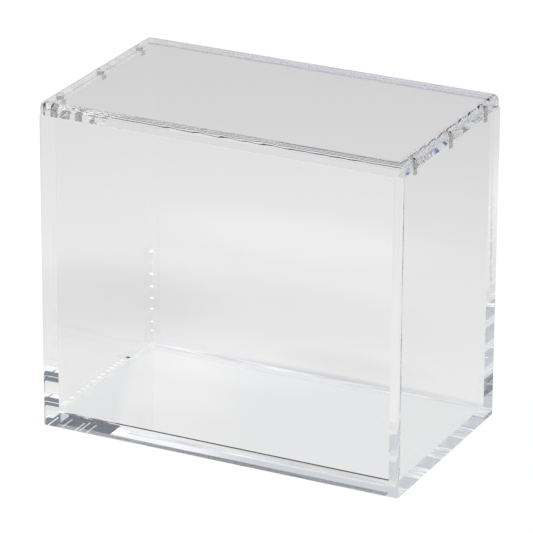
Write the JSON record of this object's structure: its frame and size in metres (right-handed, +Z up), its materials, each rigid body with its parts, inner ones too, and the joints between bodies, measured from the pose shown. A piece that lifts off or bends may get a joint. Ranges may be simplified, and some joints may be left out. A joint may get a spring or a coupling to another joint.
{
  "type": "trading card display case",
  "caption": "Clear acrylic display case for a sealed box of trading cards, with a loose lid held by magnets set in its short sides.",
  "frame": {"origin": "centre of the underside, on the surface that the case stands on", "axes": "+Z up, +X to the right along the long front face, +Y from the front face to the back; the front face looks along -Y"},
  "size_m": [0.154, 0.09, 0.135],
  "materials": {
    "clear_acrylic": "clear cast acrylic, polished faces and flame-polished edges",
    "nickel_plate": "nickel-plated neodymium magnet, dulled by its glue"
  },
  "bodies": {
    "case": {"base_panel": "clear_acrylic", "front_panel": "clear_acrylic", "back_panel": "clear_acrylic", "left_panel": "clear_acrylic", "right_panel": "clear_acrylic", "rim_magnet_left_front": "nickel_plate", "rim_magnet_left_middle": "nickel_plate", "rim_magnet_left_back": "nickel_plate", "rim_magnet_right_front": "nickel_plate", "rim_magnet_right_middle": "nickel_plate", "rim_magnet_right_back": "nickel_plate"},
    "lid": {"lid_panel": "clear_acrylic", "lid_magnet_left_front": "nickel_plate", "lid_magnet_left_middle": "nickel_plate", "lid_magnet_left_back": "nickel_plate", "lid_magnet_right_front": "nickel_plate", "lid_magnet_right_middle": "nickel_plate", "lid_magnet_right_back": "nickel_plate"}
  },
  "joints": [
    {"name": "lid_lift", "type": "slide", "parent": "case", "child": "lid", "axis": [0, 0, 1], "range_m": [0, 0.15]}
  ]
}
